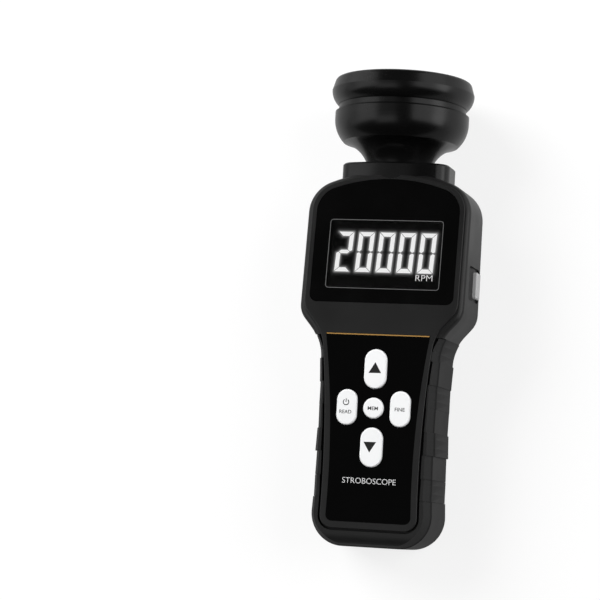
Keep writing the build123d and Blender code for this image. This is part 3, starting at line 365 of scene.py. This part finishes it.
NODE_MATERIALS = {
    "front_shell": HOUSING, "rear_shell": HOUSING, "battery_cover": HOUSING, "grip": GRIP,
    "keypad_label": LABEL, "lcd_module": GLOSS_BLACK,
    "up_key": KEYS, "down_key": KEYS, "read_key": KEYS, "fine_key": KEYS, "memory_key": KEYS,
    "side_key": SIDE_KEY, "key_board": LAMINATE, "main_board": LAMINATE, "side_key_board": LAMINATE,
    "led_board": LAMINATE, "key_switches": SWITCH, "side_switch": SWITCH,
    "board_screws": STEEL, "case_screws": STEEL, "cover_screw": STEEL,
    "left_cell": CELL_STEEL, "middle_cell": CELL_STEEL, "right_cell": CELL_STEEL,
    "contact_springs": CONTACT, "contact_plates": CONTACT, "tripod_insert": BRASS,
    "neck_collar": LAMP, "lamp_housing": LAMP, "neck_nut": LAMP, "front_ring": LAMP,
    "lens": LENS, "lens_seal": RUBBER, "reflector": MIRROR, "leds": LED,
    "display_panel": GLOSS_BLACK,
}
for node_name, mat in NODE_MATERIALS.items():
    slots = NODES[node_name].data.materials
    slots.clear()
    slots.append(mat)


# Piece helpers
def finish_piece(obj, body):
    """Sets a piece on the body it rides on."""
    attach(obj, body)
    return obj


def flat_piece(name, outlines, plane, thickness, mat, body):
    """Flat polygons in a plane, given in millimetres, thickened outwards."""
    bm = bmesh.new()
    for outline in outlines:
        low = [bm.verts.new((x, y, 0.0)) for x, y in outline]
        high = [bm.verts.new((x, y, thickness)) for x, y in outline]
        bm.faces.new(list(reversed(low)))
        bm.faces.new(high)
        count = len(outline)
        for i in range(count):
            j = (i + 1) % count
            bm.faces.new((low[i], low[j], high[j], high[i]))
    bmesh.ops.recalc_face_normals(bm, faces=bm.faces)
    bm.transform(plane)
    mesh = bpy.data.meshes.new(name)
    bm.to_mesh(mesh)
    bm.free()
    obj = bpy.data.objects.new(name, mesh)
    bpy.context.scene.collection.objects.link(obj)
    mesh.materials.append(mat)
    return finish_piece(obj, body)


def text_piece(name, words, size, middle, plane, mat, body, width, weight=0.0):
    """Words centred on a point of a plane; the sizes and the change of the strokes are in millimetres."""
    curve = bpy.data.curves.new(name, "FONT")
    curve.body = words
    curve.align_x = "CENTER"
    curve.align_y = "CENTER"
    curve.extrude = INK / 2
    curve.resolution_u = 4
    curve.size = size / CAPITAL_SHARE
    curve.offset = weight
    source = bpy.data.objects.new(name + "_curve", curve)
    bpy.context.scene.collection.objects.link(source)
    bpy.context.view_layer.update()
    mesh = bpy.data.meshes.new_from_object(source.evaluated_get(bpy.context.evaluated_depsgraph_get()))
    bpy.data.objects.remove(source)
    xs = [v.co.x for v in mesh.vertices]
    ys = [v.co.y for v in mesh.vertices]
    stretch = width / (max(xs) - min(xs))
    tall = size / (max(ys) - min(ys))
    centre = Vector(((max(xs) + min(xs)) / 2, (max(ys) + min(ys)) / 2, 0))
    shape = Matrix.Diagonal((stretch, tall, 1, 1)) @ Matrix.Translation(-centre)
    mesh.transform(plane @ Matrix.Translation((middle[0], middle[1], INK / 2)) @ shape)
    mesh.name = name
    obj = bpy.data.objects.new(name, mesh)
    bpy.context.scene.collection.objects.link(obj)
    mesh.materials.clear()
    mesh.materials.append(mat)
    return finish_piece(obj, body)


def rounded_rectangle(width, height, radius, middle, steps=6):
    """Outline of a rectangle with round corners."""
    points = []
    for corner in range(4):
        sx = 1 if corner in (0, 3) else -1
        sy = 1 if corner in (0, 1) else -1
        cx = middle[0] + sx * (width / 2 - radius)
        cy = middle[1] + sy * (height / 2 - radius)
        for step in range(steps + 1):
            angle = math.radians(90 * (corner + step / steps))
            points.append((cx + radius * math.cos(angle), cy + radius * math.sin(angle)))
    return points


def frame_piece(name, outer, inner, plane, thickness, mat, body):
    """A flat frame between two outlines with as many points."""
    strips = []
    count = len(outer)
    for i in range(count):
        j = (i + 1) % count
        strips.append((outer[i], outer[j], inner[j], inner[i]))
    piece = flat_piece(name, strips, plane, thickness, mat, body)
    bm = bmesh.new()
    bm.from_mesh(piece.data)
    bmesh.ops.remove_doubles(bm, verts=bm.verts, dist=1e-7)
    walls = [f for f in bm.faces if f.calc_area() < 1e-16]
    bmesh.ops.delete(bm, geom=walls, context="FACES")
    bm.to_mesh(piece.data)
    bm.free()
    return piece


# Display: the black plate has a clear window over the lit digits
def cut_plate():
    """The display panel's own solid with the window cut out, as the printed plate."""
    plate = bpy.data.objects.new("display_plate", NODES["display_panel"].data.copy())
    bpy.context.scene.collection.objects.link(plate)
    cutter = flat_piece(
        "window_cutter",
        [rounded_rectangle(*WINDOW, WINDOW_CORNER, (0, WINDOW_MIDDLE))],
        display_plane(-PANEL_THICKNESS - 1), PANEL_THICKNESS + 2, GLOSS_BLACK, "housing",
    )
    cutter.parent = None
    boolean = plate.modifiers.new("window", "BOOLEAN")
    boolean.operation = "DIFFERENCE"
    boolean.solver = "EXACT"
    boolean.object = cutter
    bpy.context.view_layer.update()
    graph = bpy.context.evaluated_depsgraph_get()
    mesh = bpy.data.meshes.new_from_object(plate.evaluated_get(graph))
    mesh.name = "display_plate"
    plate.modifiers.clear()
    plate.data = mesh
    bpy.data.objects.remove(cutter)
    mesh.materials.clear()
    mesh.materials.append(GLOSS_BLACK)
    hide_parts("display_panel")
    return finish_piece(plate, "housing")


cut_plate()
flat_piece(
    "display_pane",
    [rounded_rectangle(
        WINDOW[0] - 2 * PANE_AIR, WINDOW[1] - 2 * PANE_AIR, WINDOW_CORNER - PANE_AIR, (0, WINDOW_MIDDLE)
    )],
    display_plane(-PANEL_THICKNESS + PANE_AIR), PANEL_THICKNESS - INK - PANE_AIR,
    PANE, "housing",
)
frame_piece(
    "window_line",
    rounded_rectangle(*(side + LINE_OUTSIDE for side in WINDOW), LINE_CORNERS[0], (0, WINDOW_MIDDLE)),
    rounded_rectangle(*(side - LINE_INSIDE for side in WINDOW), LINE_CORNERS[1], (0, WINDOW_MIDDLE)),
    display_plane(0.0), INK, LINE_INK, "housing",
)


# Lit digits and the light that spills round them
def digit_segments(code, left):
    """Outlines of the lit segments of one digit, mitred where they meet."""
    w, h, t, g = DIGIT_WIDTH, DIGIT_HEIGHT, STROKE, BREAK
    m = h / 2
    half = t * WAIST_SHARE
    shapes = {
        "a": [(g, h), (w - g, h), (w - t - g, h - t), (t + g, h - t)],
        "d": [(g, 0), (t + g, t), (w - t - g, t), (w - g, 0)],
        "f": [(0, h - g), (t, h - t - g), (t, m + half + g), (t * 0.5, m + g), (0, m + half * 0.6 + g)],
        "b": [
            (w, h - g), (w, m + half * 0.6 + g), (w - t * 0.5, m + g),
            (w - t, m + half + g), (w - t, h - t - g),
        ],
        "e": [(0, g), (0, m - half * 0.6 - g), (t * 0.5, m - g), (t, m - half - g), (t, t + g)],
        "c": [(w, g), (w - t, t + g), (w - t, m - half - g), (w - t * 0.5, m - g), (w, m - half * 0.6 - g)],
        "g": [(t * 0.5 + g, m), (t + g, m + half), (w - t - g, m + half), (w - t * 0.5 - g, m),
              (w - t - g, m - half), (t + g, m - half)],
    }
    outlines = []
    for key in SEGMENTS[code]:
        outlines.append([(left + x + DIGIT_SLANT * y, DIGIT_BOTTOM + y) for x, y in shapes[key]])
    return outlines


digits = []
for number, code in enumerate(DIGITS):
    digits += digit_segments(code, FIRST_DIGIT + DIGIT_PITCH * number)
lit_plane = display_plane(LCD_TOP + DIGITS_ABOVE_LCD)
flat_piece("digits", digits, lit_plane, INK, LIT, "housing")
text_piece("rpm_sign", "RPM", 2.85, (20.05, 24.25), lit_plane, LIT, "housing", 8.2, -0.06)


def distance_to_edge(x, y, outline):
    """Distance from a point to an outline, or zero inside it."""
    inside = False
    best = 1e9
    count = len(outline)
    for i in range(count):
        x1, y1 = outline[i]
        x2, y2 = outline[(i + 1) % count]
        if (y1 > y) != (y2 > y) and x < (x2 - x1) * (y - y1) / (y2 - y1) + x1:
            inside = not inside
        dx, dy = x2 - x1, y2 - y1
        along = max(0.0, min(1.0, ((x - x1) * dx + (y - y1) * dy) / (dx * dx + dy * dy)))
        best = min(best, math.hypot(x - x1 - along * dx, y - y1 - along * dy))
    return 0.0 if inside else best


def glow_plate():
    """The display's ground, a fine grid whose points hold the light that spills onto them."""
    width, height = WINDOW[0] - GLOW_MARGIN, WINDOW[1] - GLOW_MARGIN
    columns, rows = int(width / GLOW_STEP), int(height / GLOW_STEP)
    reach = GLOW_REACH
    bm = bmesh.new()
    grid = []
    values = []
    for j in range(rows + 1):
        y = WINDOW_MIDDLE - height / 2 + height * j / rows
        row = []
        for i in range(columns + 1):
            x = -width / 2 + width * i / columns
            near = 9.0
            for outline in digits:
                xs = [p[0] for p in outline]
                ys = [p[1] for p in outline]
                if min(xs) - reach < x < max(xs) + reach and min(ys) - reach < y < max(ys) + reach:
                    near = min(near, distance_to_edge(x, y, outline))
            row.append(bm.verts.new((x, y, 0.0)))
            values.append(sum(strength * math.exp(-((near / far) ** 2)) for strength, far in GLOW_PARTS))
        grid.append(row)
    for j in range(rows):
        for i in range(columns):
            bm.faces.new((grid[j][i], grid[j][i + 1], grid[j + 1][i + 1], grid[j + 1][i]))
    bm.transform(display_plane(LCD_TOP + GROUND_ABOVE_LCD))
    mesh = bpy.data.meshes.new("display_ground")
    bm.to_mesh(mesh)
    bm.free()
    glow = mesh.color_attributes.new("glow", "FLOAT_COLOR", "POINT")
    for i, value in enumerate(values):
        glow.data[i].color = (value, value, value, 1.0)
    mesh.materials.append(GLOW)
    obj = bpy.data.objects.new("display_ground", mesh)
    bpy.context.scene.collection.objects.link(obj)
    return finish_piece(obj, "housing")


glow_plate()


# Low pads of the grip
def slab(bm, low, high):
    """A box across the whole grip between two heights, in upright millimetres."""
    made = bmesh.ops.create_cube(bm, size=1.0)
    size = Matrix.Diagonal((SLAB[0], high - low, SLAB[1], 1.0))
    place = Matrix.Translation((0, (low + high) / 2, 0))
    bmesh.ops.transform(bm, matrix=place @ size, verts=made["verts"])


def cut_across(bm, height):
    """Cuts a mesh by the level plane at a height and returns what the cut made."""
    parts = bm.verts[:] + bm.edges[:] + bm.faces[:]
    return bmesh.ops.bisect_plane(bm, geom=parts, plane_co=(0, height, 0), plane_no=(0, 1, 0))


def half_width(grip_mesh, height):
    """Half the grip's width at a height."""
    bm = bmesh.new()
    bm.from_mesh(grip_mesh)
    cut = cut_across(bm, height)
    width = max(abs(v.co.x) for v in cut["geom_cut"] if isinstance(v, bmesh.types.BMVert))
    bm.free()
    return width


def grip_slice(grip_mesh, low, high):
    """The grip's own solid between two heights, cut across every millimetre."""
    source = bpy.data.objects.new("grip_source", grip_mesh)
    cutter_mesh = bpy.data.meshes.new("grip_cutter")
    bm = bmesh.new()
    slab(bm, low, high)
    bm.to_mesh(cutter_mesh)
    bm.free()
    cutter = bpy.data.objects.new("grip_cutter", cutter_mesh)
    for obj in (source, cutter):
        bpy.context.scene.collection.objects.link(obj)
    boolean = source.modifiers.new("slice", "BOOLEAN")
    boolean.operation = "INTERSECT"
    boolean.solver = "EXACT"
    boolean.object = cutter
    bpy.context.view_layer.update()
    mesh = bpy.data.meshes.new_from_object(source.evaluated_get(bpy.context.evaluated_depsgraph_get()))
    for obj in (source, cutter):
        bpy.data.objects.remove(obj)
    bm = bmesh.new()
    bm.from_mesh(mesh)
    height = low + CUT_STEP
    while height < high - CUT_STEP / 5:
        cut_across(bm, height)
        height += CUT_STEP
    bm.to_mesh(mesh)
    bm.free()
    return mesh


def low_pads():
    """Slices of the raised pads, set lower into the bands beside them."""
    grip_mesh = NODES["grip"].data.copy()
    grip_mesh.transform(UPRIGHT.inverted())
    slices = [(start, start + PAD_LENGTH, PAD_SHIFT) for start in PAD_STARTS]
    slices.append((PAD_STARTS[0], PAD_STARTS[0] + FIRST_GAP[1] - FIRST_GAP[0], FIRST_GAP[0] - PAD_STARTS[0]))
    for number, (low, high, shift) in enumerate(slices):
        mesh = grip_slice(grip_mesh, low + LOW_PAD_AIR, high - LOW_PAD_AIR)
        stations = [low + STATION_INSET, (low + high) / 2, high - STATION_INSET]
        offsets = [
            half_width(grip_mesh, height + shift) + LOW_PAD_RAISE - half_width(grip_mesh, height)
            for height in stations
        ]
        for vertex in mesh.vertices:
            offset = 0.0
            for place, value in zip(stations, offsets):
                others = [other for other in stations if other != place]
                offset += value * math.prod((vertex.co.y - other) / (place - other) for other in others)
            vertex.co.x += math.copysign(offset, vertex.co.x) if abs(vertex.co.x) > 1 else 0.0
            vertex.co.y += shift
            vertex.co.z += -LOW_PAD_SINK_FRONT if vertex.co.z > 0 else LOW_PAD_SINK_BACK
        mesh.transform(UPRIGHT)
        mesh.name = "low_pad_%d" % number
        mesh.materials.clear()
        mesh.materials.append(GRIP)
        obj = bpy.data.objects.new(mesh.name, mesh)
        bpy.context.scene.collection.objects.link(obj)
        finish_piece(obj, "housing")


low_pads()

# Print on the keypad label
flat_piece(
    "orange_line", [[(-25.2, 100.4), (25.2, 100.4), (25.2, 100.9), (-25.2, 100.9)]],
    keypad_plane(LABEL_TOP_Z), INK, ORANGE_INK, "housing",
)
text_piece("type_words", "STROBOSCOPE", 2.7, (-0.35, 31.2), keypad_plane(LABEL_TOP_Z), WHITE_INK,
           "housing", 26.1, -0.02)

# Print on the keys
top = keypad_plane(KEY_TOP_Z)
up_arrow = [(-0.1, 87.5), (-3.15, 82.3), (2.95, 82.4)]
down_arrow = [(-0.7, 44.6), (2.4, 49.7), (-3.7, 49.6)]
flat_piece("up_arrow", [up_arrow], top, INK, DARK_INK, "up_key")
flat_piece("down_arrow", [down_arrow], top, INK, DARK_INK, "down_key")
text_piece("read_word", "READ", 1.7, (-13.45, 63.5), top, DARK_INK, "read_key", 5.9, 0.025)
text_piece("memory_word", "MEM", 1.7, (-0.1, 65.6), top, DARK_INK, "memory_key", 4.95, 0.025)
text_piece("fine_word", "FINE", 1.7, (13.0, 65.5), top, DARK_INK, "fine_key", 4.85, 0.025)


def power_sign(middle, radius, width):
    """Broken ring with a stroke in its gap."""
    strips = []
    steps = 22
    gap = math.radians(36)
    x, y = middle
    outside, inside = radius + width / 2, radius - width / 2
    angles = [math.pi / 2 + gap + (2 * math.pi - 2 * gap) * i / steps for i in range(steps + 1)]
    for a, b in zip(angles, angles[1:]):
        quad = []
        for r, angle in ((outside, a), (outside, b), (inside, b), (inside, a)):
            quad.append((x + r * math.cos(angle), y + r * math.sin(angle)))
        strips.append(quad)
    left, right, top_end = x - width / 2, x + width / 2, y + radius * 1.25
    strips.append([(left, y), (right, y), (right, top_end), (left, top_end)])
    return strips


power_strips = power_sign((-13.36, 68.05), 1.35, 0.4)
flat_piece("power_sign", power_strips, top, INK, DARK_INK, "read_key")


# Camera, placed as the photograph was taken
def place_camera():
    """Camera of the photograph, with its angles about the upright instrument."""
    yaw, pitch, roll = (math.radians(a) for a in (CAMERA_YAW, CAMERA_PITCH, CAMERA_ROLL))
    back = Vector((math.sin(yaw) * math.cos(pitch), math.sin(pitch), math.cos(yaw) * math.cos(pitch)))
    right = Vector((math.cos(yaw), 0, -math.sin(yaw)))
    above = back.cross(right)
    rolled = right * math.cos(roll) - above * math.sin(roll)
    top_side = right * math.sin(roll) + above * math.cos(roll)
    place = Vector(CAMERA_MIDDLE) + back * CAMERA_DISTANCE
    place = place - rolled * CAMERA_SLIDE[0] - top_side * CAMERA_SLIDE[1]
    turn = UPRIGHT.to_3x3().normalized()
    axes = [turn @ v for v in (rolled, top_side, back)]
    data = bpy.data.cameras.new("camera")
    data.sensor_width = SENSOR_WIDTH
    data.sensor_fit = "HORIZONTAL"
    data.lens = CAMERA_FOCAL / PICTURE_WIDTH * data.sensor_width
    data.clip_start = 0.01
    data.clip_end = 20
    camera = bpy.data.objects.new("camera", data)
    bpy.context.scene.collection.objects.link(camera)
    camera.matrix_world = Matrix.Translation(UPRIGHT @ place) @ Matrix(axes).transposed().to_4x4()
    bpy.context.scene.camera = camera


place_camera()


# Floor, world and lamps
def ramp(tree, source, start, end, low, high):
    """Smooth step of a value between two limits."""
    node = tree.nodes.new("ShaderNodeMapRange")
    node.interpolation_type = "SMOOTHSTEP"
    for key, value in (("From Min", start), ("From Max", end), ("To Min", low), ("To Max", high)):
        node.inputs[key].default_value = value
    tree.links.new(source, node.inputs["Value"])
    return node.outputs["Result"]


def combine(tree, operation, first, second):
    """Sum or product of two values."""
    node = tree.nodes.new("ShaderNodeMath")
    node.operation = operation
    for i, value in enumerate((first, second)):
        if isinstance(value, float):
            node.inputs[i].default_value = value
        else:
            tree.links.new(value, node.inputs[i])
    return node.outputs["Value"]


def floor():
    """White paper that shows nearly white, with the instrument's soft shadow on it; in reflections it is
    painted light that grows brighter from tail to head.
    """
    mesh = bpy.data.meshes.new("floor")
    corners = [(x * FLOOR_HALF, y * FLOOR_HALF, 0) for x, y in ((-1, -1), (1, -1), (1, 1), (-1, 1))]
    mesh.from_pydata(corners, [], [(0, 1, 2, 3)])
    obj = bpy.data.objects.new("floor", mesh)
    bpy.context.scene.collection.objects.link(obj)
    mat = new_material("floor_paper", grey(0.72), 0.9, Specular_IOR_Level=0.1)
    bump(mat, noise(mat, 350.0), 0.00001)
    tree = mat.node_tree
    paper = tree.nodes["Principled BSDF"]
    seen = add(mat, "ShaderNodeBsdfPrincipled")
    seen.inputs["Base Color"].default_value = (0.2, 0.2, 0.2, 1)
    seen.inputs["Roughness"].default_value = 0.9
    seen.inputs["Specular IOR Level"].default_value = 0.0
    seen.inputs["Emission Color"].default_value = (1, 1, 1, 1)
    seen.inputs["Emission Strength"].default_value = FLOOR_SEEN
    # Painted light: in reflections the paper glows in place of lit paper, darker towards the tail
    painted_reflection = add(mat, "ShaderNodeEmission")
    split = add(mat, "ShaderNodeSeparateXYZ")
    link(mat, add(mat, "ShaderNodeTexCoord").outputs["Object"], split.inputs["Vector"])
    rise = ramp(tree, split.outputs["Y"], *FLOOR_RISE, FLOOR_TAIL, FLOOR_HEAD)
    link(mat, rise, painted_reflection.inputs["Strength"])
    path = add(mat, "ShaderNodeLightPath")
    inner = add(mat, "ShaderNodeMixShader")
    link(mat, path.outputs["Is Glossy Ray"], inner.inputs["Fac"])
    link(mat, paper.outputs["BSDF"], inner.inputs[1])
    link(mat, painted_reflection.outputs["Emission"], inner.inputs[2])
    mix = add(mat, "ShaderNodeMixShader")
    link(mat, path.outputs["Is Camera Ray"], mix.inputs["Fac"])
    link(mat, inner.outputs["Shader"], mix.inputs[1])
    link(mat, seen.outputs["BSDF"], mix.inputs[2])
    link(mat, mix.outputs["Shader"], tree.nodes["Material Output"].inputs["Surface"])
    mesh.materials.append(mat)


def world():
    """White to the camera; for the rest a dark ceiling between two broad pale sides."""
    scene = bpy.context.scene
    scene.world = bpy.data.worlds.new("studio")
    scene.world.use_nodes = True
    tree = scene.world.node_tree
    tree.nodes.clear()
    out = tree.nodes.new("ShaderNodeOutputWorld")
    seen = tree.nodes.new("ShaderNodeBackground")
    seen.inputs["Color"].default_value = (1, 1, 1, 1)
    room = tree.nodes.new("ShaderNodeBackground")
    room.inputs["Color"].default_value = (1, 1, 1, 1)
    split = tree.nodes.new("ShaderNodeSeparateXYZ")
    tree.links.new(tree.nodes.new("ShaderNodeTexCoord").outputs["Generated"], split.inputs["Vector"])
    x, y = split.outputs["X"], split.outputs["Y"]
    right = combine(tree, "ADD", ramp(tree, x, *RIGHT_PANEL), ramp(tree, x, *RIGHT_RIM))
    left = combine(tree, "ADD", ramp(tree, x, *LEFT_PANEL), ramp(tree, x, *LEFT_RIM))
    panels = combine(tree, "MULTIPLY", combine(tree, "ADD", right, left), ramp(tree, y, *PANEL_TAIL_END))
    above = combine(tree, "ADD", ramp(tree, y, *ABOVE_SOFT), ramp(tree, y, *ABOVE_BRIGHT))
    for limit in ABOVE_LIMITS_X:
        above = combine(tree, "MULTIPLY", above, ramp(tree, x, *limit))
    above = combine(tree, "MULTIPLY", above, ramp(tree, y, *ABOVE_TAIL_END))
    light = combine(tree, "ADD", combine(tree, "ADD", panels, above), ROOM_DARK)
    tree.links.new(light, room.inputs["Strength"])
    path = tree.nodes.new("ShaderNodeLightPath")
    mix = tree.nodes.new("ShaderNodeMixShader")
    tree.links.new(path.outputs["Is Camera Ray"], mix.inputs["Fac"])
    tree.links.new(room.outputs["Background"], mix.inputs[1])
    tree.links.new(seen.outputs["Background"], mix.inputs[2])
    tree.links.new(mix.outputs["Shader"], out.inputs["Surface"])


def lamp(name, place, target, size, power):
    """A large soft lamp that lights matt surfaces only."""
    data = bpy.data.lights.new(name, "AREA")
    data.shape = "RECTANGLE"
    data.size, data.size_y = size
    data.energy = power
    obj = bpy.data.objects.new(name, data)
    bpy.context.scene.collection.objects.link(obj)
    obj.location = place
    obj.visible_glossy = False
    obj.visible_transmission = False
    way = Vector(target) - Vector(place)
    obj.rotation_euler = way.to_track_quat("-Z", "Y").to_euler()


floor()
world()
lamp("left_softbox", (-0.9, 0.7, 1.0), (0, 0, 0.03), (1.0, 1.0), 24)
lamp("right_softbox", (1.1, 0.2, 0.8), (0, 0, 0.03), (0.8, 1.2), 9)

bpy.context.scene.view_settings.view_transform = "Standard"


def rows(box):
    """A box as plain lists."""
    return [[float(v) for v in corner] for corner in box]
